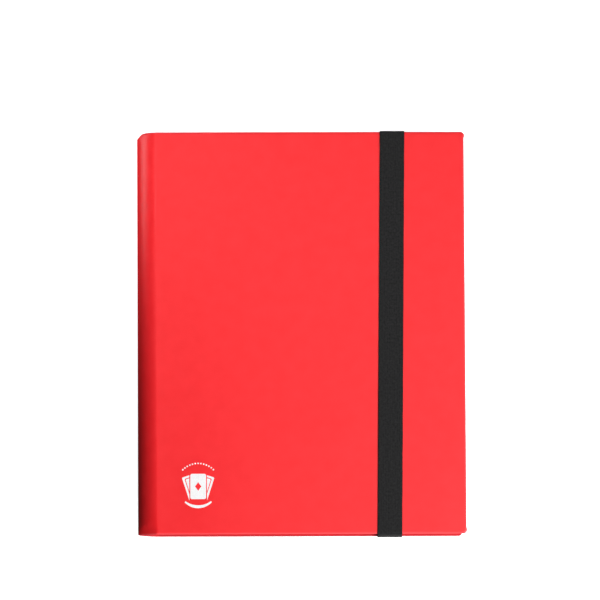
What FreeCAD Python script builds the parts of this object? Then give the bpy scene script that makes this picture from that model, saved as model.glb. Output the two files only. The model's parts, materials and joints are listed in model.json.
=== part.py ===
import FreeCAD, Part
import math
import os
import Sketcher

# Closed trading card binder lying on its back cover. Millimetres.
# +X runs from the spine to the fore edge, +Y up the cover, +Z out of the front cover.

doc = FreeCAD.newDocument("card_binder")

# ---- driving dimensions -------------------------------------------------------------------

DIMENSIONS = [
    ("cover_wide", 258.0),        # spine face to fore edge
    ("cover_high", 318.0),
    ("back_short", 2.8),          # the back cover ends this far inside the front cover's fore edge
    ("cover_deep", 26.0),         # outer face of the back cover to outer face of the front cover
    ("sheet_thick", 1.0),         # polypropylene cover sheet
    ("bend_radius", 12.6),        # outside of the rounded spine corners
    ("lip_angle", 44.5),          # share of each corner arc carried by one panel, in degrees
    ("corner_round", 2.5),        # outer corners of both covers
    ("strap_wide", 20.0),
    ("strap_thick", 1.0),
    ("strap_gap", 0.05),
    ("strap_offset", 69.5),       # strap centre from the middle of the cover
    ("strap_bevel", 0.4),
    ("slot_inset", 8.0),          # cover edge to the outer side of the strap slot
    ("slot_wide", 1.4),
    ("slot_long", 21.2),
    ("flap_inset", 1.5),          # cover edge to the end of the flap inside
    ("leaf_high", 297.0),
    ("leaf_inset", 6.0),          # cover fore edge to leaf fore edge
    ("leaf_thick", 0.25),         # black middle sheet
    ("leaf_pitch", 1.15),
    ("root_start", 11.0),         # spine face to the fold line of the outermost leaves
    ("root_step", 0.9),           # fold lines move in by this much per leaf towards the middle
    ("root_gap", 0.15),
    ("film_thick", 0.25),         # clear film with its weld height
    ("pocket_deep", 0.12),
    ("pocket_wide", 67.0),
    ("pocket_high", 93.5),
    ("column_pitch", 72.0),
    ("row_pitch", 96.5),
    ("weld_edge", 2.0),
    ("finger_thick", 0.28),
    ("finger_pitch", 0.42),
    ("bar_thick", 1.0),
    ("bar_inset", 1.9),
    ("bar_high", 8.4),
]

LEAVES = 20
COLUMNS = 3
ROWS = 3

sheet = doc.addObject("Spreadsheet::Sheet", "Dims")
for row, (name, value) in enumerate(DIMENSIONS, start=1):
    sheet.set("A%d" % row, name)
    sheet.set("B%d" % row, str(value))
    sheet.setAlias("B%d" % row, name)
doc.recompute()


def d(name):
    return float(sheet.get(name))


def value_of(expression):
    result = sheet.evalExpression(expression)
    return float(getattr(result, "Value", result))


# ---- expressions shared by several pieces -------------------------------------------------

SPINE_X = "(-Dims.cover_wide / 2)"
FORE_X = "(Dims.cover_wide / 2)"
BACK_FORE_X = "(Dims.cover_wide / 2 - Dims.back_short)"
EDGE_Y = "(Dims.cover_high / 2)"
BACK_Z = "(Dims.strap_thick + Dims.strap_gap)"
FRONT_Z = "(%s + Dims.cover_deep)" % BACK_Z
MIDDLE_Z = "(%s + Dims.cover_deep / 2)" % BACK_Z
BEND_X = "(%s + Dims.bend_radius)" % SPINE_X
REAR_BEND_Z = "(%s + Dims.bend_radius)" % BACK_Z
FRONT_BEND_Z = "(%s - Dims.bend_radius)" % FRONT_Z
INNER_RADIUS = "(Dims.bend_radius - Dims.sheet_thick)"
LEAF_END_X = "(%s - Dims.leaf_inset)" % FORE_X
COLUMNS_X = "(%s - Dims.weld_edge - %d * Dims.column_pitch)" % (LEAF_END_X, COLUMNS)


# ---- sketch helpers -----------------------------------------------------------------------


def new_body(name):
    body = doc.addObject("PartDesign::Body", name)
    body.Label = name
    return body


def new_sketch(body, name, plane):
    sketch = body.newObject("Sketcher::SketchObject", name)
    origin_plane = [f for f in body.Origin.OriginFeatures if f.Role == plane][0]
    sketch.AttachmentSupport = [(origin_plane, "")]
    sketch.MapMode = "FlatFace"
    return sketch


def bind(sketch, kind, geometry, point, expression):
    index = sketch.addConstraint(
        Sketcher.Constraint(kind, -1, 1, geometry, point, value_of(expression))
    )
    sketch.setExpression("Constraints[%d]" % index, expression)


def bind_point(sketch, geometry, point, across, up):
    bind(sketch, "DistanceX", geometry, point, across)
    bind(sketch, "DistanceY", geometry, point, up)


def vector(across, up):
    return FreeCAD.Vector(value_of(across), value_of(up), 0)


def polygon(sketch, corners):
    """Closed outline of straight lines, each corner a pair of expressions."""
    first = sketch.GeometryCount
    count = len(corners)
    for i in range(count):
        start = vector(*corners[i])
        end = vector(*corners[(i + 1) % count])
        sketch.addGeometry(Part.LineSegment(start, end), False)
    for i in range(count):
        following = first + (i + 1) % count
        sketch.addConstraint(Sketcher.Constraint("Coincident", first + i, 2, following, 1))
        bind_point(sketch, first + i, 1, *corners[i])


def bend_arc(sketch, centre, radius, start_angle, end_angle):
    """Arc about a bound centre with a bound radius. Angles in degrees, anticlockwise."""
    circle = Part.Circle(vector(*centre), FreeCAD.Vector(0, 0, 1), value_of(radius))
    arc = Part.ArcOfCircle(circle, math.radians(start_angle), math.radians(end_angle))
    index = sketch.addGeometry(arc, False)
    bind_point(sketch, index, 3, *centre)
    size = sketch.addConstraint(Sketcher.Constraint("Radius", index, value_of(radius)))
    sketch.setExpression("Constraints[%d]" % size, radius)
    return index


def join_line(sketch, first, first_end, second, second_end, start, end):
    """Straight line between two ends of other geometry."""
    index = sketch.addGeometry(Part.LineSegment(start, end), False)
    sketch.addConstraint(Sketcher.Constraint("Coincident", index, 1, first, first_end))
    sketch.addConstraint(Sketcher.Constraint("Coincident", index, 2, second, second_end))
    return index


def pad(body, sketch, name, length):
    """Symmetric pad about the sketch plane."""
    sketch.Visibility = False
    feature = body.newObject("PartDesign::Pad", name)
    feature.Profile = sketch
    if hasattr(feature, "SideType"):
        feature.SideType = "Symmetric"
    else:
        feature.Midplane = True
    feature.Length = value_of(length)
    feature.setExpression("Length", length)
    return feature


# ---- cover panels and spine ---------------------------------------------------------------


def cover_profile(sketch, fore_x, face_z, inner_z, centre_z, side):
    """Flat panel with its share of the rounded corner. side is 1 for the back, -1 for the front."""
    centre = (BEND_X, centre_z)
    lip = d("lip_angle")
    if side > 0:
        sweep = (270 - lip, 270)
        tip, root = 1, 2
    else:
        sweep = (90, 90 + lip)
        tip, root = 2, 1
    outer = bend_arc(sketch, centre, "Dims.bend_radius", *sweep)
    inner = bend_arc(sketch, centre, INNER_RADIUS, *sweep)
    for arc, radius in ((outer, "Dims.bend_radius"), (inner, INNER_RADIUS)):
        bind(sketch, "DistanceX", arc, root, BEND_X)
        reach = "%s - %s * sin(Dims.lip_angle)" % (BEND_X, radius)
        bind(sketch, "DistanceX", arc, tip, reach)
    outer_line = sketch.addGeometry(
        Part.LineSegment(vector(BEND_X, face_z), vector(fore_x, face_z)), False
    )
    inner_line = sketch.addGeometry(
        Part.LineSegment(vector(BEND_X, inner_z), vector(fore_x, inner_z)), False
    )
    for line, arc in ((outer_line, outer), (inner_line, inner)):
        sketch.addConstraint(Sketcher.Constraint("Coincident", line, 1, arc, root))
        sketch.addConstraint(Sketcher.Constraint("Horizontal", line))
        bind(sketch, "DistanceX", line, 2, fore_x)
    join_line(
        sketch, outer_line, 2, inner_line, 2, vector(fore_x, face_z), vector(fore_x, inner_z)
    )
    outer_tip = sketch.getPoint(outer, tip)
    inner_tip = sketch.getPoint(inner, tip)
    join_line(sketch, outer, tip, inner, tip, outer_tip, inner_tip)


def round_corners(body, feature, fore_x):
    """Rounded outer corners at the fore edge of a cover."""
    doc.recompute()
    edges = []
    for index, edge in enumerate(feature.Shape.Edges, start=1):
        low, high = edge.BoundBox.XMin, edge.BoundBox.XMax
        at_fore_edge = min(low, high) > value_of(fore_x) - 0.01
        through = edge.BoundBox.ZLength > d("sheet_thick") - 0.01
        if at_fore_edge and through:
            edges.append("Edge%d" % index)
    fillet = body.newObject("PartDesign::Fillet", body.Name + "_corners")
    fillet.Base = (feature, edges)
    fillet.Radius = d("corner_round")
    fillet.setExpression("Radius", "Dims.corner_round")
    return fillet


def build_cover(name, fore_x, face_z, inner_z, centre_z, side):
    body = new_body(name)
    sketch = new_sketch(body, name + "_profile", "XZ_Plane")
    cover_profile(sketch, fore_x, face_z, inner_z, centre_z, side)
    panel = pad(body, sketch, name + "_panel", "Dims.cover_high")
    round_corners(body, panel, fore_x)
    return body


def build_spine():
    body = new_body("spine")
    sketch = new_sketch(body, "spine_profile", "XZ_Plane")
    lip = d("lip_angle")
    arcs = {}
    for key, centre_z, sweep, tip in (
        ("rear", REAR_BEND_Z, (180, 180 + lip), 2),
        ("front", FRONT_BEND_Z, (180 - lip, 180), 1),
    ):
        root = 3 - tip
        sign = -1 if key == "rear" else 1
        for skin, radius in (("outer", "Dims.bend_radius"), ("inner", INNER_RADIUS)):
            arc = bend_arc(sketch, (BEND_X, centre_z), radius, *sweep)
            bind(sketch, "DistanceY", arc, root, centre_z)
            reach = "%s + (%d) * %s * sin(Dims.lip_angle)" % (centre_z, sign, radius)
            bind(sketch, "DistanceY", arc, tip, reach)
            arcs[key, skin] = (arc, tip, root)
        outer, inner = arcs[key, "outer"], arcs[key, "inner"]
        start = sketch.getPoint(outer[0], tip)
        end = sketch.getPoint(inner[0], tip)
        join_line(sketch, outer[0], tip, inner[0], tip, start, end)
    for skin in ("outer", "inner"):
        rear, front = arcs["rear", skin], arcs["front", skin]
        start = sketch.getPoint(rear[0], rear[2])
        end = sketch.getPoint(front[0], front[2])
        join_line(sketch, rear[0], rear[2], front[0], front[2], start, end)
    pad(body, sketch, "spine_panel", "Dims.cover_high")
    return body


BACK_INSIDE_Z = "(%s + Dims.sheet_thick)" % BACK_Z
FRONT_INSIDE_Z = "(%s - Dims.sheet_thick)" % FRONT_Z
back_cover = build_cover("back_cover", BACK_FORE_X, BACK_Z, BACK_INSIDE_Z, REAR_BEND_Z, 1)
front_cover = build_cover("front_cover", FORE_X, FRONT_Z, FRONT_INSIDE_Z, FRONT_BEND_Z, -1)
spine = build_spine()

# Two slots through the back cover take the ends of the strap.
slots = new_sketch(back_cover, "strap_slots", "XY_Plane")
for sign in (1, -1):
    near = "(%d) * (%s - Dims.slot_inset)" % (sign, EDGE_Y)
    far = "(%d) * (%s - Dims.slot_inset - Dims.slot_wide)" % (sign, EDGE_Y)
    left = "Dims.strap_offset - Dims.slot_long / 2"
    right = "Dims.strap_offset + Dims.slot_long / 2"
    polygon(slots, [(left, near), (right, near), (right, far), (left, far)])
slots.Visibility = False
doc.recompute()
whole_volume = back_cover.Shape.Volume
slot_cut = back_cover.newObject("PartDesign::Pocket", "strap_slot_cut")
slot_cut.Profile = slots
slot_cut.Type = "ThroughAll"
slot_cut.Reversed = True
doc.recompute()
slot_volume = 2 * d("slot_long") * d("slot_wide") * d("sheet_thick")
removed = whole_volume - back_cover.Shape.Volume
assert abs(removed - slot_volume) < 0.01, "the strap slots are not cut: %.3f" % removed


# ---- elastic strap ------------------------------------------------------------------------


def strap_body(name, corners):
    body = new_body(name)
    sketch = new_sketch(body, name + "_path", "YZ_Plane")
    polygon(sketch, corners)
    pad(body, sketch, name + "_web", "Dims.strap_wide")
    body.setExpression(".Placement.Base.x", "Dims.strap_offset")
    return body


STRAP_INNER_Y = "(%s + Dims.strap_gap)" % EDGE_Y
STRAP_OUTER_Y = "(%s + Dims.strap_thick)" % STRAP_INNER_Y
STRAP_TOP_Z = "(%s + Dims.strap_gap + Dims.strap_thick)" % FRONT_Z
STRAP_UNDER_Z = "(%s + Dims.strap_gap)" % FRONT_Z
JOIN_Z = "(%s + Dims.sheet_thick / 2)" % BACK_Z
FREE_Z = "(%s + Dims.strap_gap)" % JOIN_Z

strap_body("elastic_strap", [
    ("-" + STRAP_OUTER_Y, FREE_Z),
    ("-" + STRAP_OUTER_Y, "%s - Dims.strap_bevel" % STRAP_TOP_Z),
    ("-(%s - Dims.strap_bevel)" % STRAP_OUTER_Y, STRAP_TOP_Z),
    ("%s - Dims.strap_bevel" % STRAP_OUTER_Y, STRAP_TOP_Z),
    (STRAP_OUTER_Y, "%s - Dims.strap_bevel" % STRAP_TOP_Z),
    (STRAP_OUTER_Y, FREE_Z),
    (STRAP_INNER_Y, FREE_Z),
    (STRAP_INNER_Y, STRAP_UNDER_Z),
    ("-" + STRAP_INNER_Y, STRAP_UNDER_Z),
    ("-" + STRAP_INNER_Y, FREE_Z),
])

SLOT_FAR_Y = "(%s - Dims.slot_inset - Dims.slot_wide / 2 - Dims.strap_thick / 2)" % EDGE_Y
SLOT_NEAR_Y = "(%s - Dims.slot_inset - Dims.slot_wide / 2 + Dims.strap_thick / 2)" % EDGE_Y
FLAP_Y = "(%s - Dims.flap_inset)" % EDGE_Y
FLAP_LOW_Z = "(%s + Dims.sheet_thick + Dims.strap_gap)" % BACK_Z
FLAP_TOP_Z = "(%s + Dims.strap_thick)" % FLAP_LOW_Z

STRAP_END = [
    (STRAP_OUTER_Y, JOIN_Z),
    (STRAP_OUTER_Y, "Dims.strap_bevel"),
    ("(%s - Dims.strap_bevel)" % STRAP_OUTER_Y, "0"),
    ("(%s + Dims.strap_bevel)" % SLOT_FAR_Y, "0"),
    (SLOT_FAR_Y, "Dims.strap_bevel"),
    (SLOT_FAR_Y, "%s - Dims.strap_bevel" % FLAP_TOP_Z),
    ("(%s + Dims.strap_bevel)" % SLOT_FAR_Y, FLAP_TOP_Z),
    (FLAP_Y, FLAP_TOP_Z),
    (FLAP_Y, FLAP_LOW_Z),
    (SLOT_NEAR_Y, FLAP_LOW_Z),
    (SLOT_NEAR_Y, "Dims.strap_thick"),
    (STRAP_INNER_Y, "Dims.strap_thick"),
    (STRAP_INNER_Y, JOIN_Z),
]

strap_body("strap_end_top", STRAP_END)
strap_body("strap_end_bottom", [("-" + across, up) for across, up in STRAP_END])


# ---- leaves -------------------------------------------------------------------------------


def root_expression(index):
    """Fold line of one leaf, as expressions for X and Z."""
    rank = min(index, LEAVES - 1 - index)
    across = "(%s + Dims.root_start + %d * Dims.root_step)" % (SPINE_X, rank)
    up = "(%s + (%.1f) * Dims.leaf_pitch)" % (MIDDLE_Z, index - (LEAVES - 1) / 2)
    return across, up


# Binding: a bar along the inside of the spine with one thin root strip per leaf.
binding = new_body("binding_strip")
bar = new_sketch(binding, "binding_bar_profile", "XZ_Plane")
BAR_LEFT = "(%s + Dims.bar_inset)" % SPINE_X
BAR_RIGHT = "(%s + Dims.bar_thick)" % BAR_LEFT
polygon(bar, [
    (BAR_LEFT, "%s - Dims.bar_high / 2" % MIDDLE_Z),
    (BAR_RIGHT, "%s - Dims.bar_high / 2" % MIDDLE_Z),
    (BAR_RIGHT, "%s + Dims.bar_high / 2" % MIDDLE_Z),
    (BAR_LEFT, "%s + Dims.bar_high / 2" % MIDDLE_Z),
])
pad(binding, bar, "binding_bar", "Dims.leaf_high")
doc.recompute()
for index in range(LEAVES):
    fold_x, fold_z = root_expression(index)
    tip_x = "%s - Dims.root_gap" % fold_x
    foot_x = "(%s - Dims.bar_thick / 2)" % BAR_RIGHT
    foot_z = "(%s + (%.1f) * Dims.finger_pitch)" % (MIDDLE_Z, index - (LEAVES - 1) / 2)
    strip = new_sketch(binding, "root_profile_%02d" % (index + 1), "XZ_Plane")
    polygon(strip, [
        (foot_x, "%s - Dims.finger_thick / 2" % foot_z),
        (tip_x, "%s - Dims.finger_thick / 2" % fold_z),
        (tip_x, "%s + Dims.finger_thick / 2" % fold_z),
        (foot_x, "%s + Dims.finger_thick / 2" % foot_z),
    ])
    pad(binding, strip, "root_strip_%02d" % (index + 1), "Dims.leaf_high")

# One column of pockets: clear film over three pockets that open towards the spine.
column_film = doc.addObject("Part::Box", "column_film")
column_film.setExpression("Length", "Dims.column_pitch - Dims.weld_edge")
column_film.setExpression("Width", "Dims.leaf_high - Dims.weld_edge")
column_film.setExpression("Height", "Dims.film_thick")
column_film.setExpression(".Placement.Base.y", "-(Dims.leaf_high - Dims.weld_edge) / 2")
hollows = []
for line in range(ROWS):
    hollow = doc.addObject("Part::Box", "pocket_hollow_%d" % (line + 1))
    hollow.setExpression("Length", "Dims.pocket_wide")
    hollow.setExpression("Width", "Dims.pocket_high")
    hollow.setExpression("Height", "Dims.pocket_deep")
    middle = "(%d) * Dims.row_pitch" % (line - (ROWS - 1) // 2)
    hollow.setExpression(".Placement.Base.y", "%s - Dims.pocket_high / 2" % middle)
    hollows.append(hollow)
hollow_set = doc.addObject("Part::MultiFuse", "pocket_hollows")
hollow_set.Shapes = hollows
pocket_column = doc.addObject("Part::Cut", "pocket_column")
pocket_column.Base = column_film
pocket_column.Tool = hollow_set
doc.recompute()

column_start = value_of(COLUMNS_X)
weld_lift = d("leaf_thick") / 2
leaf_nodes = []
for index in range(LEAVES):
    fold_x, fold_z = root_expression(index)
    name = "leaf_%02d" % (index + 1)
    leaf = doc.addObject("Part::Box", name)
    leaf.Label = name
    leaf.setExpression("Length", "%s - %s - Dims.root_gap" % (LEAF_END_X, fold_x))
    leaf.setExpression("Width", "Dims.leaf_high")
    leaf.setExpression("Height", "Dims.leaf_thick")
    leaf.setExpression(".Placement.Base.x", "%s + Dims.root_gap" % fold_x)
    leaf.setExpression(".Placement.Base.y", "-Dims.leaf_high / 2")
    leaf.setExpression(".Placement.Base.z", "%s - Dims.leaf_thick / 2" % fold_z)

    films = []
    for column in range(COLUMNS):
        across = column_start + column * d("column_pitch")
        for side in (1, -1):
            film = pocket_column.Shape.copy()
            if side < 0:
                film = film.mirror(FreeCAD.Vector(0, 0, 0), FreeCAD.Vector(0, 0, 1))
            film.translate(FreeCAD.Vector(across, 0, side * weld_lift))
            films.append(film)
    pockets = doc.addObject("Part::Feature", "pockets_%02d" % (index + 1))
    pockets.Label = pockets.Name
    pockets.Shape = Part.Compound(films)
    pockets.setExpression(".Placement.Base.z", fold_z)
    leaf_nodes += [leaf, pockets]

doc.recompute()

# ---- checks and export --------------------------------------------------------------------

named = ["back_cover", "spine", "front_cover", "binding_strip"]
named += ["elastic_strap", "strap_end_top", "strap_end_bottom"]
nodes = [doc.getObject(name) for name in named] + leaf_nodes

for item in doc.Objects:
    assert "Invalid" not in item.State and "Error" not in item.State, item.Name
for node in nodes:
    assert not node.Shape.isNull() and node.Shape.isValid(), node.Label

os.makedirs("parts", exist_ok=True)
for node in nodes:
    node.Shape.exportStep("parts/%s.step" % node.Label)
print("wrote %d sub-parts" % len(nodes))
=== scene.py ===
import json
import math

import bmesh
import bpy
import numpy as np
from mathutils import Matrix, Vector, noise


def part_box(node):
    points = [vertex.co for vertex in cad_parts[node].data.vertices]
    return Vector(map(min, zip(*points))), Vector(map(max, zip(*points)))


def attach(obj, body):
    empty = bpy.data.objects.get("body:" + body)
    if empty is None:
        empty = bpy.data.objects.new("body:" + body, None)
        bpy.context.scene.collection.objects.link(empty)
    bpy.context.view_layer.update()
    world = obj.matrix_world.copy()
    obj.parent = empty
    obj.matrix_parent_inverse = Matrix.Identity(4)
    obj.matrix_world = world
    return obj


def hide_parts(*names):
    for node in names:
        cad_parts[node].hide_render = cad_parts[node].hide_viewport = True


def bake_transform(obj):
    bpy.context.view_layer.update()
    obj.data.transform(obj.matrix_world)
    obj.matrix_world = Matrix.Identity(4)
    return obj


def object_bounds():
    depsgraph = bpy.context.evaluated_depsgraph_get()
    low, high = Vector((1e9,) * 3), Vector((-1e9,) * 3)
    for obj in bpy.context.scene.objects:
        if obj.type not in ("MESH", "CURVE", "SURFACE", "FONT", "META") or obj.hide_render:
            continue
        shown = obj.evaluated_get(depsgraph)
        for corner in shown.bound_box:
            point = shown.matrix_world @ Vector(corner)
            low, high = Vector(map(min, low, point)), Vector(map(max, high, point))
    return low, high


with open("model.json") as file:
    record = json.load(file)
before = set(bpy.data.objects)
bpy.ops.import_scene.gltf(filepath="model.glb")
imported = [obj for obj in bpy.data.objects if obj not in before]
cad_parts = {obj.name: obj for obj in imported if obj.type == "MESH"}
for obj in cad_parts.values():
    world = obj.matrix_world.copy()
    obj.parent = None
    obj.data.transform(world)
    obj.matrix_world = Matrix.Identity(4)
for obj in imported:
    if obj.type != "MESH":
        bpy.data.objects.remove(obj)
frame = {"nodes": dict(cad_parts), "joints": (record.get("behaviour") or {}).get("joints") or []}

CAD_LOW, CAD_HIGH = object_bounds()
MM = 0.001

# ---- places taken from the frame ----------------------------------------------------------

BACK_LOW, BACK_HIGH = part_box("back_cover")
FRONT_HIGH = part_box("front_cover")[1]
STRAP_LOW, STRAP_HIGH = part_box("elastic_strap")
TAIL_LOW, TAIL_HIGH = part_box("strap_end_top")
BINDING_LOW, BINDING_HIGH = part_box("binding_strip")

SPINE_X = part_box("spine")[0][0]
BACK_Z = BACK_LOW[2]
FRONT_Z = FRONT_HIGH[2]
MIDDLE_Z = (BACK_Z + FRONT_Z) / 2
EDGE_Y = FRONT_HIGH[1]
SHEET = 1.0 * MM                        # thickness of the cover sheet
BEND = 12.6 * MM                        # height of each spine corner
LEAVES = sum(1 for name in frame["nodes"] if name.startswith("leaf_"))
JOINTS = {joint["name"]: joint for joint in frame["joints"]}


# ---- mesh helpers -------------------------------------------------------------------------


def smooth_step(value):
    value = np.clip(value, 0.0, 1.0)
    return value * value * (3 - 2 * value)


def link(name, mesh):
    thing = bpy.data.objects.new(name, mesh)
    bpy.context.scene.collection.objects.link(thing)
    return thing


def grid_faces(rows, columns, offset=0):
    faces = []
    for i in range(rows - 1):
        for j in range(columns - 1):
            corner = offset + i * columns + j
            faces.append((corner, corner + columns, corner + columns + 1, corner + 1))
    return faces


def make_mesh(name, points, faces, flat, masks=None):
    """Mesh with a UV map in metres and optional per-point masks."""
    mesh = bpy.data.meshes.new(name)
    mesh.from_pydata(points.tolist(), [], faces)
    layer = mesh.uv_layers.new(name="UVMap")
    order = np.zeros(len(mesh.loops), np.int32)
    mesh.loops.foreach_get("vertex_index", order)
    layer.data.foreach_set("uv", flat[order].astype(np.float32).ravel())
    for key, values in (masks or {}).items():
        attribute = mesh.attributes.new(key, "FLOAT", "POINT")
        attribute.data.foreach_set("value", values.astype(np.float32).ravel())
    mesh.polygons.foreach_set("use_smooth", [True] * len(mesh.polygons))
    return mesh


def sheet_object(name, points, flat, masks=None):
    """Single-skin sheet from an array of points, rows by columns by three."""
    rows, columns, _ = points.shape
    clean = {key: values.reshape(-1) for key, values in (masks or {}).items()}
    mesh = make_mesh(
        name, points.reshape(-1, 3), grid_faces(rows, columns), flat.reshape(-1, 2), clean
    )
    return link(name, mesh)


def freeze(thing):
    """Replaces the mesh with the result of its modifiers."""
    graph = bpy.context.evaluated_depsgraph_get()
    mesh = bpy.data.meshes.new_from_object(thing.evaluated_get(graph))
    thing.modifiers.clear()
    thing.data = mesh
    return thing


def thicken(thing, thickness, edge=0.0):
    solid = thing.modifiers.new("thickness", "SOLIDIFY")
    solid.thickness = thickness
    solid.offset = 0
    if edge:
        bevel = thing.modifiers.new("edge", "BEVEL")
        bevel.width = edge
        bevel.segments = 2
        bevel.limit_method = "ANGLE"
        bevel.angle_limit = math.radians(50)
        bevel.harden_normals = True
    return freeze(thing)


def join(name, things):
    """One object from several meshes, with their materials and attributes."""
    for thing in bpy.context.selected_objects:
        thing.select_set(False)
    for thing in things:
        thing.select_set(True)
    bpy.context.view_layer.objects.active = things[0]
    bpy.ops.object.join()
    joined = bpy.context.view_layer.objects.active
    joined.name = name
    joined.data.name = name
    joined.select_set(False)
    return joined


# ---- materials ----------------------------------------------------------------------------


class Surface:
    """Principled material with short calls for its texture nodes."""

    def __init__(self, name, color, roughness, **sockets):
        self.material = bpy.data.materials.new(name)
        self.material.use_nodes = True
        self.tree = self.material.node_tree
        self.shader = self.tree.nodes["Principled BSDF"]
        self.shader.inputs["Base Color"].default_value = (*color, 1)
        self.shader.inputs["Roughness"].default_value = roughness
        for key, value in sockets.items():
            self.shader.inputs[key.replace("_", " ")].default_value = value
        self.bumps = []

    def node(self, kind, **settings):
        made = self.tree.nodes.new(kind)
        for key, value in settings.items():
            setattr(made, key, value)
        return made

    def link(self, source, target):
        self.tree.links.new(source, target)

    def place(self):
        """UV position in metres."""
        return self.node("ShaderNodeUVMap", uv_map="UVMap").outputs["UV"]

    def noise(self, scale, detail=2.0):
        texture = self.node("ShaderNodeTexNoise")
        texture.inputs["Scale"].default_value = scale
        texture.inputs["Detail"].default_value = detail
        self.link(self.place(), texture.inputs["Vector"])
        return texture.outputs["Fac"]

    def wave(self, scale, direction="X", distortion=0.0):
        texture = self.node("ShaderNodeTexWave", bands_direction=direction)
        texture.inputs["Scale"].default_value = scale
        texture.inputs["Distortion"].default_value = distortion
        self.link(self.place(), texture.inputs["Vector"])
        return texture.outputs["Fac"]

    def mask(self, key):
        """Per-point mask that the mesh carries."""
        return self.node("ShaderNodeAttribute", attribute_name=key).outputs["Fac"]

    def calculate(self, operation, *values):
        """Sum or product of sockets and numbers."""
        step = self.node("ShaderNodeMath", operation=operation)
        for socket, value in zip(step.inputs, values):
            if isinstance(value, float):
                socket.default_value = value
            else:
                self.link(value, socket)
        return step.outputs["Value"]

    def spread(self, source, low, high, start=0.3, end=0.7):
        """Maps a texture to a range of numbers."""
        ramp = self.node("ShaderNodeMapRange")
        ramp.inputs["From Min"].default_value = start
        ramp.inputs["From Max"].default_value = end
        ramp.inputs["To Min"].default_value = low
        ramp.inputs["To Max"].default_value = high
        self.link(source, ramp.inputs["Value"])
        return ramp.outputs["Result"]

    def blend(self, factor, first, second):
        """Colour between two colours or sockets."""
        mix = self.node("ShaderNodeMix", data_type="RGBA")
        self.link(factor, mix.inputs["Factor"])
        for socket, value in ((mix.inputs["A"], first), (mix.inputs["B"], second)):
            if isinstance(value, tuple):
                socket.default_value = (*value, 1)
            else:
                self.link(value, socket)
        return mix.outputs["Result"]

    def mottled(self, noise, first, second):
        """Colour that wanders between two colours with a noise."""
        return self.blend(self.spread(noise, 0.0, 1.0), first, second)

    def color(self, socket):
        self.link(socket, self.shader.inputs["Base Color"])

    def rough(self, socket):
        self.link(socket, self.shader.inputs["Roughness"])

    def bump(self, height, distance, strength=1.0):
        """Adds fine relief over the relief already there."""
        bump = self.node("ShaderNodeBump")
        bump.inputs["Distance"].default_value = distance
        bump.inputs["Strength"].default_value = strength
        self.link(height, bump.inputs["Height"])
        if self.bumps:
            self.link(self.bumps[-1], bump.inputs["Normal"])
        self.bumps.append(bump.outputs["Normal"])
        self.link(self.bumps[-1], self.shader.inputs["Normal"])


def cover_material():
    """Satin red polypropylene: fine sand grain, faint mottling and a painted highlight along the
    cut edges.
    """
    red = Surface("red_polypropylene", (0.88, 0.016, 0.02), 0.36, Specular_IOR_Level=0.4)
    body = red.mottled(red.noise(90, 4), (0.87, 0.013, 0.018), (0.90, 0.017, 0.023))
    # Paler pink along the cut edges: a painted highlight where the edges catch the light.
    red.color(red.blend(red.mask("painted_edge_highlight"), body, (0.82, 0.085, 0.1)))
    red.rough(red.spread(red.noise(140, 5), 0.33, 0.40))
    red.bump(red.noise(5200, 1), 0.00003, 0.35)
    red.bump(red.noise(22, 2), 0.0006, 0.25)
    return red.material


def ink_material():
    """Screen-printed white, a little uneven."""
    ink = Surface("white_ink", (0.86, 0.86, 0.87), 0.42)
    ink.color(ink.mottled(ink.noise(900, 3), (0.82, 0.81, 0.82), (0.92, 0.92, 0.93)))
    ink.rough(ink.spread(ink.noise(1500, 2), 0.38, 0.5))
    ink.bump(ink.noise(6000, 1), 0.00002, 0.4)
    return ink.material


def strap_material():
    """Black woven elastic: lengthwise cords crossed by fine weft picks."""
    web = Surface(
        "black_elastic", (0.012, 0.012, 0.013), 0.85, Sheen_Weight=0.04, Sheen_Roughness=0.5,
        Specular_IOR_Level=0.12,
    )
    weave = web.calculate("MULTIPLY", web.wave(430, "Y", 0.6), web.wave(230))
    thread = web.blend(weave, (0.004, 0.004, 0.0042), (0.017, 0.017, 0.0175))
    patches = web.spread(web.noise(620, 3), 0.0, 1.0, 0.32, 0.72)
    thread = web.blend(patches, thread, (0.019, 0.019, 0.0195))
    fluff = web.spread(web.noise(2600, 4), 0.0, 0.55, 0.45, 0.75)
    web.color(web.blend(fluff, thread, (0.03, 0.03, 0.031)))
    web.rough(web.spread(web.noise(1800, 3), 0.75, 0.92))
    web.bump(weave, 0.00009, 0.8)
    web.bump(web.noise(3800, 2), 0.00005, 0.5)
    return web.material


def thread_material():
    """Twisted black sewing thread."""
    thread = Surface("black_thread", (0.02, 0.02, 0.021), 0.6, Sheen_Weight=0.1)
    thread.color(thread.mottled(thread.noise(3000), (0.014, 0.014, 0.015), (0.04, 0.04, 0.042)))
    thread.bump(thread.wave(1500, "DIAGONAL"), 0.00004, 0.8)
    return thread.material


def leaf_material():
    """Black film with a fine cross grain."""
    black = Surface("black_film", (0.017, 0.017, 0.018), 0.42)
    black.color(black.mottled(black.noise(260, 4), (0.012, 0.012, 0.013), (0.024, 0.024, 0.026)))
    black.rough(black.spread(black.noise(60, 3), 0.34, 0.5))
    black.bump(black.wave(1400, "DIAGONAL", 0.4), 0.00002, 0.5)
    black.bump(black.noise(40, 2), 0.0004, 0.15)
    return black.material


def pocket_material():
    """Clear glossy film, milky along its welds."""
    film = Surface("clear_film", (0.86, 0.88, 0.9), 0.09, IOR=1.49)
    film.color(film.blend(film.mask("weld"), (0.84, 0.86, 0.88), (0.52, 0.54, 0.57)))
    film.rough(film.spread(film.noise(70, 4), 0.06, 0.16))
    haze = film.spread(film.noise(24, 3), 0.055, 0.085)
    alpha = film.calculate("MULTIPLY_ADD", film.mask("weld"), 0.3, haze)
    film.link(alpha, film.shader.inputs["Alpha"])
    film.bump(film.noise(45, 3), 0.0008, 0.35)
    return film.material


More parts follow.
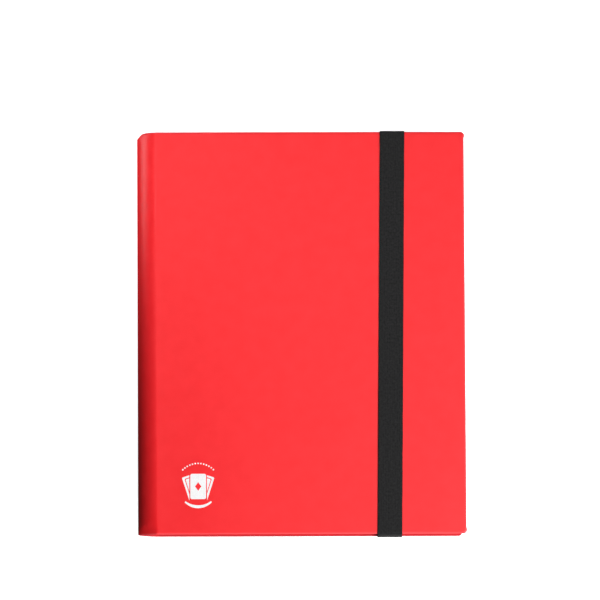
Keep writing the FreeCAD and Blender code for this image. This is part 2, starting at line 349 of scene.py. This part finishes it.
def floor_material():
    """Matt white that glows enough to lift the shadows off it."""
    return Surface(
        "pale_floor", (0.86, 0.86, 0.86), 0.7, Specular_IOR_Level=0.1,
        Emission_Color=(1, 1, 1, 1), Emission_Strength=0.95,
    ).material


RED = cover_material()
INK = ink_material()
WEB = strap_material()
THREAD = thread_material()
BLACK = leaf_material()
CLEAR = pocket_material()


def finish_piece(thing, material):
    """Gives a piece its one material."""
    thing.data.materials.clear()
    thing.data.materials.append(material)
    return thing


# ---- cover sheet --------------------------------------------------------------------------

SPINE_FLAT = MIDDLE_Z - BACK_Z - BEND   # half the flat strip of the spine
BEND_RISE = BEND - SHEET / 2
BEND_RUN = 15.0 * MM                    # the panel starts to turn this far from the spine face
BEND_POWER = 1.46                       # below 2 the corner is flatter than an ellipse
BEND_STEPS = 40
NEAR_PANEL = 24 * MM                    # this much of the panel has closer points
CROWN = 0.9 * MM                        # the panels sink this much towards the spine
CROWN_REACH = 34 * MM
CORNER = 2.6 * MM                       # radius of the fore edge corners
TRIM_TOP = 4.2 * MM                     # the top end of the spine is cut back by this much
TRIM_BOTTOM = 0.3 * MM
TRIM_POWER = 6.5                        # and the cut fades out towards the panel
ROLL = 0.5 * MM                         # the cut edges droop by this much
ROLL_REACH = 1.9 * MM
PINCH = 2.2 * MM                        # the bottom end of the bend is pressed down by this much
PINCH_TOP = 0.5                         # and the top end by this share of it
PINCH_REACH = (5 * MM, 10 * MM)         # over this much of the length, spine side and panel side
EDGE_HIGHLIGHT_WIDTH = 1.3 * MM                          # width of the pale band along the cut edges, a painted edge highlight
RIPPLE = 0.14 * MM                      # the panels are not quite flat
RIPPLE_START = 40 * MM                  # distance from the bend where the ripple is full
EDGE_ROWS = (8.5, 7, 5.5, 4.2, 3.1, 2.4, 1.9, 1.5, 1.15, 0.85, 0.55, 0.28, 0)   # mm to the edge
SLOT_Y = TAIL_LOW[1] + 0.5 * MM
SLOT_WIDE = 1.4 * MM
SLOT_LONG = TAIL_HIGH[0] - TAIL_LOW[0] + 1.2 * MM


def bend_curve():
    """Corner of the sheet from the spine face to the panel, as X, height and slope share."""
    angle = np.linspace(0, math.pi / 2, BEND_STEPS)
    run = np.cos(angle) ** (2 / BEND_POWER)
    rise = np.sin(angle) ** (2 / BEND_POWER)
    x = SPINE_X + SHEET / 2 + (BEND_RUN - SHEET / 2) * (1 - run)
    return x, SPINE_FLAT + BEND_RISE * rise, rise


def cover_profile(fore_x):
    """Middle line of half the sheet: X, height over the middle plane, panel distance."""
    bend_x, bend_z, share = bend_curve()
    panel_x = SPINE_X + BEND_RUN
    near = panel_x + np.linspace(0, NEAR_PANEL, 17)[1:]
    far = np.linspace(panel_x + NEAR_PANEL, fore_x - CORNER, 60)[1:]
    turn = np.linspace(0, math.pi / 2, 9)[1:]
    corner = fore_x - CORNER + CORNER * np.sin(turn)
    flat_x = np.concatenate([near, far, corner])
    top = SPINE_FLAT + BEND_RISE
    x = np.concatenate([[SPINE_X + SHEET / 2] * 2, bend_x, flat_x])
    z = np.concatenate([[0, SPINE_FLAT / 2], bend_z, np.full(len(flat_x), top)])
    share = np.concatenate([[0, 0], share, np.ones(len(flat_x))])
    beyond = np.maximum(x - panel_x, 0)
    drop = CROWN * share**3 * np.exp(-((beyond / CROWN_REACH) ** 2))
    return x, z - drop, share, beyond


def corner_half(x, end_x, edge_y, corner):
    """Half length of a sheet at each X, with its two far corners rounded."""
    past = np.maximum(x - (end_x - corner), 0)
    return edge_y - (corner - np.sqrt(np.maximum(corner**2 - past**2, 0)))


def cover_half(name, fore_x, side, seed):
    """Half the sheet, from the middle of the spine to one fore edge. side is 1 for the front."""
    x, rise, share, beyond = cover_profile(fore_x)
    steps = np.hypot(np.diff(x), np.diff(rise))
    along = np.concatenate([[0], np.cumsum(steps)])
    near_edge = 1 - np.array(EDGE_ROWS) * MM / EDGE_Y
    inner = 1 - 10 * MM / EDGE_Y
    across = np.concatenate([-near_edge[::-1], np.linspace(-inner, inner, 61), near_edge])

    half = corner_half(x, fore_x, EDGE_Y, CORNER)
    trimmed = (1 - share**2) ** TRIM_POWER
    bent = (4 * share * (1 - share)) ** 0.7

    rows, columns = len(along), len(across)
    points = np.zeros((rows, columns, 3))
    flat = np.zeros((rows, columns, 2))
    painted_edge_highlight = np.zeros((rows, columns))
    for i in range(rows):
        high = half[i] - TRIM_TOP * trimmed[i]
        low = half[i] - TRIM_BOTTOM * trimmed[i]
        y = across * np.where(across > 0, high, low)
        to_end = np.where(y > 0, high - y, low + y)
        reach = PINCH_REACH[0] + (PINCH_REACH[1] - PINCH_REACH[0]) * share[i]
        depth = PINCH * bent[i] * np.where(y > 0, PINCH_TOP, 1.0)
        pressed = depth * np.clip(1 - (half[i] - np.abs(y)) / reach, 0, 1) ** 1.4
        rolled = ROLL * smooth_step(share[i]) * np.clip(1 - to_end / ROLL_REACH, 0, 1) ** 2
        wander = np.array([noise.noise(Vector((beyond[i] * 16, v * 13, seed))) for v in y])
        ripple = RIPPLE * smooth_step(beyond[i] / RIPPLE_START) * wander
        points[i, :, 0] = x[i]
        points[i, :, 1] = y
        points[i, :, 2] = MIDDLE_Z + side * (rise[i] - pressed - rolled + ripple)
        flat[i, :, 0] = along[i]
        flat[i, :, 1] = y
        # Mask for the painted edge highlight, strongest at the cut edges.
        painted_edge_highlight[i] = np.clip(1 - np.minimum(to_end, fore_x - x[i]) / EDGE_HIGHLIGHT_WIDTH, 0, 1)
    thing = sheet_object(name, points, flat, {"painted_edge_highlight": painted_edge_highlight})
    if side < 0:
        thing.data.flip_normals()
    return thing


def box_mesh(name, centre, size):
    mesh = bpy.data.meshes.new(name)
    work = bmesh.new()
    place = Matrix.Translation(centre) @ Matrix.Diagonal((*size, 1))
    bmesh.ops.create_cube(work, size=1, matrix=place)
    work.to_mesh(mesh)
    work.free()
    return mesh


def cut_slots(thing):
    """Opens the two strap slots in the back cover."""
    size = (SLOT_LONG, SLOT_WIDE, 5 * MM)
    slot_x = (TAIL_LOW[0] + TAIL_HIGH[0]) / 2
    cutters = []
    for sign in (1, -1):
        centre = (slot_x, sign * SLOT_Y, BACK_Z + SHEET / 2)
        cutters.append(link("slot_cutter", box_mesh("slot_cutter", centre, size)))
    for cutter in cutters:
        cut = thing.modifiers.new("slot", "BOOLEAN")
        cut.operation = "DIFFERENCE"
        cut.solver = "EXACT"
        cut.object = cutter
    freeze(thing)
    for cutter in cutters:
        bpy.data.objects.remove(cutter)


def build_cover():
    """Both halves of the cover sheet, each bent across its own living hinge."""
    pieces = []
    for name, body, fore_x, side, seed in (
        ("cover_sheet_front", "front_cover", FRONT_HIGH[0], 1, 3.7),
        ("cover_sheet_back", "back_cover", BACK_HIGH[0], -1, 8.2),
    ):
        thing = cover_half(name, fore_x, side, seed)
        thicken(thing, SHEET, 0.4 * MM)
        if side < 0:
            cut_slots(thing)
        finish_piece(thing, RED)
        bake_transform(thing)
        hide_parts(body)
        pieces.append(thing)
    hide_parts("spine")
    return pieces


# ---- printed emblem -----------------------------------------------------------------------

EMBLEM_X = -81.8 * MM
EMBLEM_Y = -121.5 * MM
CARD_WIDE = 12.4 * MM
CARD_HIGH = 20.0 * MM
CARD_CORNER = 1.5 * MM
CARD_GAP = 0.75 * MM                    # bare cover between the middle card and the outer two
CARD_LINE = (1.6 * MM, 2.25 * MM)       # bare line inside the border of the outer cards
FAN_ANGLE = math.radians(18)
PIP = 3.6 * MM
DOTS = 13
DOT_RADIUS = 0.62 * MM
DOT_ARC = math.radians(45)              # the row of dots reaches this far each way
INK_LIFT = 0.02 * MM


def arc(centre_y, radius, start, end, steps):
    """Points along part of a circle whose centre is on the emblem's upright middle line."""
    angles = [start + (end - start) * step / steps for step in range(steps + 1)]
    centre = Vector((0, centre_y))
    return [centre + radius * Vector((math.cos(a), math.sin(a))) for a in angles]


def rounded_card(wide, high, corner):
    """Outline of a card centred on the origin."""
    outline = []
    for turn, (sx, sy) in enumerate(((1, 1), (-1, 1), (-1, -1), (1, -1))):
        centre = Vector((sx * (wide / 2 - corner), sy * (high / 2 - corner)))
        for step in range(7):
            angle = math.pi / 2 * (turn + step / 6)
            outline.append(centre + corner * Vector((math.cos(angle), math.sin(angle))))
    return outline


def diamond(size):
    """Pip with four inward-curved sides."""
    outline = []
    for step in range(32):
        angle = 2 * math.pi * step / 32
        reach = size / (abs(math.cos(angle)) ** 0.8 + abs(math.sin(angle)) ** 0.8)
        outline.append(Vector((0.72 * reach * math.cos(angle), reach * math.sin(angle))))
    return outline


def filled(name, outlines):
    """Flat mesh filled between closed outlines."""
    curve = bpy.data.curves.new(name, "CURVE")
    curve.dimensions = "2D"
    curve.fill_mode = "FRONT"
    for outline in outlines:
        spline = curve.splines.new("POLY")
        spline.points.add(len(outline) - 1)
        for point, place in zip(spline.points, outline):
            point.co = (place[0], place[1], 0, 1)
        spline.use_cyclic_u = True
    holder = link(name, curve)
    bpy.context.view_layer.update()
    graph = bpy.context.evaluated_depsgraph_get()
    mesh = bpy.data.meshes.new_from_object(holder.evaluated_get(graph))
    bpy.data.objects.remove(holder)
    return mesh


def clip(mesh, point, normal):
    """Keeps the part of a flat mesh behind a line."""
    work = bmesh.new()
    work.from_mesh(mesh)
    bmesh.ops.bisect_plane(
        work,
        geom=work.verts[:] + work.edges[:] + work.faces[:],
        plane_co=(*point, 0),
        plane_no=(*normal, 0),
        clear_outer=True,
    )
    work.to_mesh(mesh)
    work.free()
    return mesh


def fan_card(angle):
    """Card turned about the foot of the fan, with a thin line inside its border."""
    foot = Vector((0, -CARD_HIGH * 0.62))
    turn = Matrix.Rotation(angle, 2)
    outlines = []
    for inset in (0.0, *CARD_LINE):
        card = rounded_card(CARD_WIDE - 2 * inset, CARD_HIGH - 2 * inset, CARD_CORNER * 0.6)
        outlines.append([foot + turn @ (p - foot) for p in card])
    return outlines


def dot_row():
    """Small dots along an arc above the fan."""
    up = math.pi / 2
    ring = arc(0, DOT_RADIUS, 0, 2 * math.pi, 12)[:-1]
    centres = arc(1.2 * MM, 17 * MM, up - DOT_ARC, up + DOT_ARC, DOTS - 1)
    return [[centre + point for point in ring] for centre in centres]


def swash():
    """Crescent under the fan."""
    outer = arc(-2.5 * MM, 14.6 * MM, 1.24 * math.pi, 1.76 * math.pi, 24)
    inner = arc(2.4 * MM, 17.2 * MM, 1.30 * math.pi, 1.70 * math.pi, 24)
    return outer + inner[::-1]


def build_emblem():
    """Fan of three plain cards between an arc of dots and a crescent."""
    edge = CARD_WIDE / 2 + CARD_GAP
    meshes = []
    for angle, side in ((FAN_ANGLE, -1), (-FAN_ANGLE, 1)):
        mesh = filled("fan_card", fan_card(angle))
        meshes.append(clip(mesh, (side * edge, 0), (-side, 0)))
    middle = rounded_card(CARD_WIDE, CARD_HIGH, CARD_CORNER)
    meshes.append(filled("middle_card", [middle, diamond(PIP)]))
    meshes.append(filled("dots", dot_row()))
    meshes.append(filled("swash", [swash()]))
    things = [link("emblem_part", mesh) for mesh in meshes]
    emblem = join("cover_emblem", things)
    emblem.data.transform(Matrix.Translation((EMBLEM_X, EMBLEM_Y, 0)))
    return emblem


def lay_on_cover(emblem, cover):
    """Drops the emblem onto the printed face of the cover."""
    bpy.context.view_layer.update()
    for vertex in emblem.data.vertices:
        origin = Vector((vertex.co[0], vertex.co[1], FRONT_Z + 0.05))
        hit, place, _, _ = cover.ray_cast(origin, Vector((0, 0, -1)))
        vertex.co[2] = (place[2] if hit else FRONT_Z) + INK_LIFT
    uv = emblem.data.uv_layers.get("UVMap") or emblem.data.uv_layers.new(name="UVMap")
    for loop in emblem.data.loops:
        co = emblem.data.vertices[loop.vertex_index].co
        uv.data[loop.index].uv = (co[0], co[1])
    finish_piece(emblem, INK)
    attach(emblem, "front_cover")


# ---- elastic strap ------------------------------------------------------------------------

STRAP_WIDE = (STRAP_HIGH[0] - STRAP_LOW[0]) * 0.97
STRAP_THICK = 0.9 * MM
STRAP_X = (STRAP_HIGH[0] + STRAP_LOW[0]) / 2
STRAP_SLANT = 1.85 * MM                 # the band leans by this much each way
STRAP_SHIFT = 1.05 * MM                 # and sits this far off the middle of its slots
STRAP_STEP = 3.2 * MM                   # longest gap between rows of points
SLOT_BEND = 0.62 * MM                   # turns of the band's middle line at a slot
EDGE_BENDS = (0.9 * MM, 1.0 * MM)       # and at the back and front edges of the covers
CORDS = 16
CORD_HEIGHT = 0.035 * MM
SELVAGE = (0.955, 0.05, 0.12)           # where the edge thins, over what share, and to how much


def rounded_path(corners, radii, steps=7):
    """Polyline with each inner corner replaced by an arc."""
    path = [corners[0]]
    for i in range(1, len(corners) - 1):
        before = (corners[i - 1] - corners[i]).normalized()
        after = (corners[i + 1] - corners[i]).normalized()
        half = before.angle(after) / 2
        reach = radii[i - 1] / math.tan(half)
        centre = corners[i] + (before + after).normalized() * (radii[i - 1] / math.sin(half))
        first = corners[i] + before * reach - centre
        last = corners[i] + after * reach - centre
        for step in range(steps + 1):
            spoke = first.lerp(last, step / steps)
            path.append(centre + spoke.normalized() * radii[i - 1])
    path.append(corners[-1])
    return path


def strap_path():
    """Middle line of the band in (Y, Z), from one inner flap to the other."""
    half = STRAP_THICK / 2
    outer_y = STRAP_HIGH[1] - half - 0.05 * MM
    top_z = STRAP_HIGH[2] - half - 0.02 * MM
    low_z = half + 0.06 * MM
    flap_z = BACK_Z + SHEET + half + 0.1 * MM
    flap_y = EDGE_Y - 1.6 * MM
    one_side = [
        Vector((flap_y, flap_z)), Vector((SLOT_Y, flap_z)), Vector((SLOT_Y, low_z)),
        Vector((outer_y, low_z)), Vector((outer_y, top_z)),
    ]
    other_side = [Vector((-p[0], p[1])) for p in reversed(one_side)]
    radii = [SLOT_BEND, SLOT_BEND, *EDGE_BENDS]
    corners = one_side + other_side
    return rounded_path(corners, radii + radii[::-1]), outer_y


def even_spacing(path, gap):
    """Adds points along the straight stretches."""
    dense = [path[0]]
    for start, end in zip(path, path[1:]):
        count = max(1, int((end - start).length / gap))
        dense += [start.lerp(end, (k + 1) / count) for k in range(count)]
    return dense


def tube_faces(rows, columns):
    """Faces of a flat tube: an upper skin, a lower skin after it, both sides and both ends."""
    under = rows * columns
    faces = grid_faces(rows, columns)
    faces += [tuple(reversed(face)) for face in grid_faces(rows, columns, under)]
    borders = []
    for column in (0, columns - 1):
        line = [row * columns + column for row in range(rows)]
        borders += zip(line, line[1:])
    for row in (0, rows - 1):
        line = [row * columns + column for column in range(columns)]
        borders += zip(line, line[1:])
    return faces + [(a, under + a, under + b, b) for a, b in borders]


def face_outwards(mesh):
    work = bmesh.new()
    work.from_mesh(mesh)
    bmesh.ops.recalc_face_normals(work, faces=work.faces[:])
    work.to_mesh(mesh)
    work.free()


def build_strap():
    """Woven band round the closed binder, with both ends through the back cover."""
    path, outer_y = strap_path()
    path = even_spacing(path, STRAP_STEP)
    places = np.array([[p[0], p[1]] for p in path])
    steps = np.diff(places, axis=0)
    lengths = np.concatenate([[0], np.cumsum(np.linalg.norm(steps, axis=1))])
    tangent = np.gradient(places, axis=0)
    tangent /= np.linalg.norm(tangent, axis=1)[:, None]
    normal = np.stack([tangent[:, 1], -tangent[:, 0]], axis=1)
    front_run = smooth_step((places[:, 1] - BACK_Z) / (FRONT_Z - BACK_Z))
    lean = (STRAP_SHIFT + STRAP_SLANT * np.clip(places[:, 0] / outer_y, -1, 1)) * front_run

    count = CORDS * 4 + 1
    share = np.linspace(-1, 1, count)
    edge_start, edge_span, thinnest = SELVAGE
    thin = np.sqrt(np.clip(1 - (np.abs(share) - edge_start) / edge_span, thinnest, 1))
    ribs = CORD_HEIGHT * np.cos(share * math.pi * CORDS)
    height = STRAP_THICK / 2 * thin - CORD_HEIGHT + ribs * thin
    across = share * STRAP_WIDE / 2
    points, flat = [], []
    for skin in (1, -1):
        for i in range(len(path)):
            x = STRAP_X + lean[i] + across * (1 + 0.004 * math.sin(lengths[i] * 180))
            yz = places[i][None, :] + normal[i][None, :] * (skin * height)[:, None]
            points.append(np.stack([x, yz[:, 0], yz[:, 1]], axis=1))
            flat.append(np.stack([across, np.full(count, lengths[i])], axis=1))
    faces = tube_faces(len(path), count)
    mesh = make_mesh("elastic_band", np.concatenate(points), faces, np.concatenate(flat))
    face_outwards(mesh)
    band = link("elastic_band", mesh)
    finish_piece(band, WEB)
    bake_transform(band)
    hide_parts("elastic_strap", "strap_end_top", "strap_end_bottom")
    return band


STITCH_RADIUS = 0.16 * MM
STITCH_RING = 6                         # sides of a stitch
STITCH_PARTS = 4                        # lengths of a stitch
STITCHES = 15                           # in a row
STITCH_ROWS = (3.0 * MM, 6.4 * MM)      # distance from the slot
STITCH_ZIG = 0.55 * MM
STITCH_Z = 0.2 * MM
STITCH_DIP = 0.14 * MM                  # both ends of a stitch sink into the band by this much
TACK_WIDE = STRAP_WIDE * 0.84


def stitch(start, end):
    """Rings of points along one stitch that swells in the middle and dips at both ends."""
    side = (end - start).cross(Vector((0, 0, 1))).normalized()
    points = []
    for part in range(STITCH_PARTS + 1):
        share = part / STITCH_PARTS
        swell = STITCH_RADIUS * (0.55 + 0.45 * math.sin(math.pi * share))
        dip = STITCH_DIP * (1 - math.sin(math.pi * share))
        for n in range(STITCH_RING):
            angle = 2 * math.pi * n / STITCH_RING
            spoke = side * math.cos(angle) + Vector((0, 0, 1)) * math.sin(angle)
            points.append(start.lerp(end, share) + spoke * swell + Vector((0, 0, dip)))
    return points


def stitch_faces(base):
    """Faces of a closed stitch whose points start at base."""
    faces = []
    for part in range(STITCH_PARTS):
        for n in range(STITCH_RING):
            p = base + part * STITCH_RING + n
            q = base + part * STITCH_RING + (n + 1) % STITCH_RING
            faces.append((p, q, q + STITCH_RING, p + STITCH_RING))
    last = base + STITCH_PARTS * STITCH_RING
    faces.append(tuple(base + n for n in reversed(range(STITCH_RING))))
    faces.append(tuple(last + n for n in range(STITCH_RING)))
    return faces


def build_stitches():
    """Zigzag tacks on the under side of the band, between each slot and the cover's edge."""
    points, faces = [], []
    pitch = TACK_WIDE / STITCHES
    for sign in (1, -1):
        for row in STITCH_ROWS:
            y = sign * (TAIL_LOW[1] + row)
            for k in range(STITCHES):
                x = STRAP_X - TACK_WIDE / 2 + k * pitch
                zig = STITCH_ZIG if k % 2 else -STITCH_ZIG
                faces += stitch_faces(len(points))
                points += stitch(
                    Vector((x, y - zig, STITCH_Z)), Vector((x + pitch, y + zig, STITCH_Z))
                )
    points = np.array([tuple(point) for point in points])
    stitches = link("strap_stitches", make_mesh("strap_stitches", points, faces, points[:, :2]))
    finish_piece(stitches, THREAD)
    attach(stitches, "back_cover")


# ---- leaves -------------------------------------------------------------------------------

LEAF_CORNER = 3.0 * MM
LEAF_THICK = 0.2 * MM
FILM = 0.07 * MM
BAR_X = BINDING_LOW[0] + 1.0 * MM       # the leaf roots start here, inside the bar
BAR_HIGH = 8.4 * MM
BAR_THICK = 0.7 * MM
BAR_RIB = (0.08 * MM, 5.0 * MM)         # height and spacing of the ribs pressed into the bar
ROOT_PITCH = 0.42 * MM                  # between the roots of neighbouring leaves
ROOT_END = 5.0 * MM                     # the root sheet ends this far past the fold
ROOT_EASE = 1.5 * MM                    # and has risen to its leaf this far past the fold
COLUMNS = 3
ROWS = 3
ROW_PITCH = 96.5 * MM                   # height of a pocket with its weld
COLUMN_GAP = 2.0 * MM                   # bare sheet between two columns
WELD_HALF = 0.9 * MM                    # half width of the welds between rows
EDGE_WELD = 3.4 * MM                    # width of the weld along the far side of a column
FILM_EASE = 2.2 * MM                    # the film rises from its weld over this much
FILM_LOW = 0.145 * MM                   # height of the film at a weld, over the leaf's middle
FILM_SLACK = 0.15 * MM


def write_sheet(x, y, z, flat_y):
    """Points and UV positions from rows of X and Z and a table of Y."""
    points = np.stack([np.broadcast_to(x[:, None], y.shape), y, np.broadcast_to(z, y.shape)], 2)
    return points, np.stack([points[:, :, 0], flat_y], 2)


def build_leaf_sheet(index):
    """Middle sheet with its film root that curves out of the binding."""
    name = "leaf_%02d" % (index + 1)
    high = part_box(name)[1]
    fold = Vector(JOINTS[name + "_turn"]["pos_m"])
    foot_z = MIDDLE_Z + (index - (LEAVES - 1) / 2) * ROOT_PITCH
    root_x = np.linspace(BAR_X, fold[0] + ROOT_END, 15)
    body_x = np.linspace(fold[0] + ROOT_END, high[0] - LEAF_CORNER, 40)[1:]
    turn = np.linspace(0, math.pi / 2, 6)[1:]
    corner_x = high[0] - LEAF_CORNER + LEAF_CORNER * np.sin(turn)
    x = np.concatenate([root_x, body_x, corner_x])
    rise = smooth_step((x - BAR_X) / (fold[0] + ROOT_EASE - BAR_X))
    z = foot_z + (fold[2] - foot_z) * rise
    half = corner_half(x, high[0], high[1], LEAF_CORNER)
    y = half[:, None] * np.linspace(-1, 1, 41)[None, :]
    points, flat = write_sheet(x, y, z[:, None], y + index * 0.013)
    thing = sheet_object("leaf_sheet_%02d" % (index + 1), points, flat)
    thicken(thing, LEAF_THICK)
    finish_piece(thing, BLACK)
    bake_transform(thing)
    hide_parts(name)


def pocket_grid(wide, low_y, high_y):
    """Places across and along a column, closer at its welds, and how far it is off the welds."""
    welds = (np.arange(ROWS + 1) - ROWS / 2) * ROW_PITCH
    near_weld = np.array([-3.2, -2.0, -0.9, 0, 0.9, 2.0, 3.2]) * MM
    near_edge = np.array([-3.2, -2.2, -1.1, -0.4, 0]) * MM
    even = np.linspace(-1, 1, 31) * high_y
    v = np.unique(np.concatenate([even] + [weld + near_weld for weld in welds]))
    v = v[(v >= low_y) & (v <= high_y)]
    u = np.concatenate([np.linspace(0, wide - 4.4 * MM, 11), wide + near_edge])
    off_edge = 1 - smooth_step((u - (wide - EDGE_WELD)) / FILM_EASE)
    to_weld = np.min(np.abs(v[:, None] - welds[None, :]), axis=1)
    off_weld = smooth_step((to_weld - WELD_HALF) / FILM_EASE)
    return u, v, off_edge[:, None] * off_weld[None, :]


def film_height(u, v, lift, column, seed):
    """Height of the film over the leaf: pressed down at its welds, a little slack between."""
    wander = [[noise.noise(Vector((a * 30 + column, b * 22, seed))) for b in v] for a in u]
    return FILM_LOW + FILM_SLACK * lift * (0.775 + 0.225 * np.array(wander))


def build_pockets(index):
    """Clear film on both faces of a leaf, three columns by three pockets."""
    node = "pockets_%02d" % (index + 1)
    body = "leaf_%02d" % (index + 1)
    low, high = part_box(node)
    middle_z = (low[2] + high[2]) / 2
    pitch = (high[0] - low[0] + COLUMN_GAP) / COLUMNS
    u, v, lift = pocket_grid(pitch - COLUMN_GAP, low[1], high[1])
    y = np.broadcast_to(v, lift.shape)
    films = []
    for column in range(COLUMNS):
        for side in (1, -1):
            z = middle_z + side * film_height(u, v, lift, column, index * 1.7 + side)
            points, flat = write_sheet(low[0] + column * pitch + u, y, z, y)
            film = sheet_object("film", points, flat, {"weld": 1 - lift})
            if side < 0:
                film.data.flip_normals()
            films.append(film)
    thing = join("pocket_film_%02d" % (index + 1), films)
    thicken(thing, FILM)
    finish_piece(thing, CLEAR)
    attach(thing, body)
    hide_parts(node)


def build_binding():
    """Welded bar inside the spine, with pressed ribs across it."""
    ys = np.linspace(BINDING_LOW[1], BINDING_HIGH[1], 240)[:, None]
    zs = np.linspace(-1, 1, 15)[None, :]
    rib_high, rib_pitch = BAR_RIB
    swell = np.sqrt(np.clip(1 - np.abs(zs) ** 6, 0, 1))
    ribs = rib_high * np.cos(2 * math.pi * ys / rib_pitch)
    x = BINDING_LOW[0] + 0.5 * MM + (0.3 * MM + ribs) * swell
    y, z = np.broadcast_arrays(ys, zs * BAR_HIGH / 2)
    bar = sheet_object("binding_bar", np.stack([x, y, MIDDLE_Z + z], 2), np.stack([y, z], 2))
    thicken(bar, BAR_THICK, 0.15 * MM)
    finish_piece(bar, BLACK)
    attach(bar, "spine")
    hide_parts("binding_strip")


# ---- stage --------------------------------------------------------------------------------

FLOOR_HALF = 12.0
FLOOR_GAP = 0.2 * MM


def build_floor():
    """Plain floor that the camera sees, but that throws no light back on the binder."""
    mesh = bpy.data.meshes.new("floor")
    corners = [(x * FLOOR_HALF, y * FLOOR_HALF, 0) for x, y in ((-1, -1), (1, -1), (1, 1), (-1, 1))]
    mesh.from_pydata(corners, [], [(0, 1, 2, 3)])
    floor = link("floor", mesh)
    floor.data.materials.append(floor_material())
    floor.location[2] = CAD_LOW[2] - FLOOR_GAP
    floor.visible_diffuse = False
    floor.visible_glossy = False


def area_light(name, place, target, size, energy, spread=math.pi):
    light = bpy.data.lights.new(name, "AREA")
    light.shape = "RECTANGLE"
    light.size, light.size_y = size
    light.energy = energy
    light.spread = spread
    holder = link(name, light)
    holder.location = place
    aim = Vector(target) - Vector(place)
    holder.rotation_euler = aim.to_track_quat("-Z", "Y").to_euler()
    holder.visible_camera = False
    return holder


def build_lights():
    """Large soft lights right, above and in front, and small ones for the top of the spine."""
    area_light("key", (0.9, -0.6, 1.2), (0, 0, 0), (0.8, 0.8), 30)
    area_light("top", (0.6, -0.1, 1.9), (0, 0, 0), (1.1, 1.1), 6.5)
    area_light("front_fill", (0.25, -1.5, 0.45), (0, 0, 0), (0.8, 0.4), 7)
    area_light(
        "spine_glint", (-0.5, 0.23, 0.12), (-0.13, 0.15, 0.015), (0.16, 0.16), 0.028,
        math.radians(40),
    )
    area_light(
        "corner_fill", (-0.38, 0.48, 1.1), (-0.09, 0.13, 0.02), (0.3, 0.3), 0.055,
        math.radians(18),
    )
    spine_fill = area_light(
        "spine_fill", (-0.6, 0.27, 0.06), (-0.129, 0.17, 0.014), (0.2, 0.1), 0.074,
        math.radians(40),
    )
    spine_fill.visible_glossy = False
    world = bpy.data.worlds.new("studio")
    world.use_nodes = True
    sky = world.node_tree.nodes["Background"]
    sky.inputs["Color"].default_value = (1, 1, 1, 1)
    sky.inputs["Strength"].default_value = 0.05
    bpy.context.scene.world = world


def build_camera():
    """Long lens, a little to the spine side and below the middle of the cover."""
    azimuth, elevation, roll = math.radians(-13.34), math.radians(83.53), math.radians(-0.295)
    distance = 6.0
    target = Vector((-0.0007, 0.0271, 0.014))
    back = Vector((
        math.sin(azimuth) * math.cos(elevation),
        -math.cos(azimuth) * math.cos(elevation),
        math.sin(elevation),
    ))
    right = Vector((0, 1, 0)).cross(back).normalized()
    up = back.cross(right)
    right_rolled = right * math.cos(roll) + up * math.sin(roll)
    up_rolled = up * math.cos(roll) - right * math.sin(roll)
    camera = bpy.data.cameras.new("camera")
    camera.lens = 455.88                # millimetres, with the usual 36 mm sensor
    camera.clip_end = 100
    holder = link("camera", camera)
    turn = Matrix((right_rolled, up_rolled, back)).transposed().to_4x4()
    holder.matrix_world = Matrix.Translation(target + back * distance) @ turn
    bpy.context.scene.camera = holder


# ---- everything ---------------------------------------------------------------------------

covers = build_cover()
lay_on_cover(build_emblem(), covers[0])
build_strap()
build_stitches()
build_binding()
for leaf in range(LEAVES):
    build_leaf_sheet(leaf)
    build_pockets(leaf)
build_floor()
build_lights()
build_camera()
bpy.context.scene.view_settings.view_transform = "Standard"
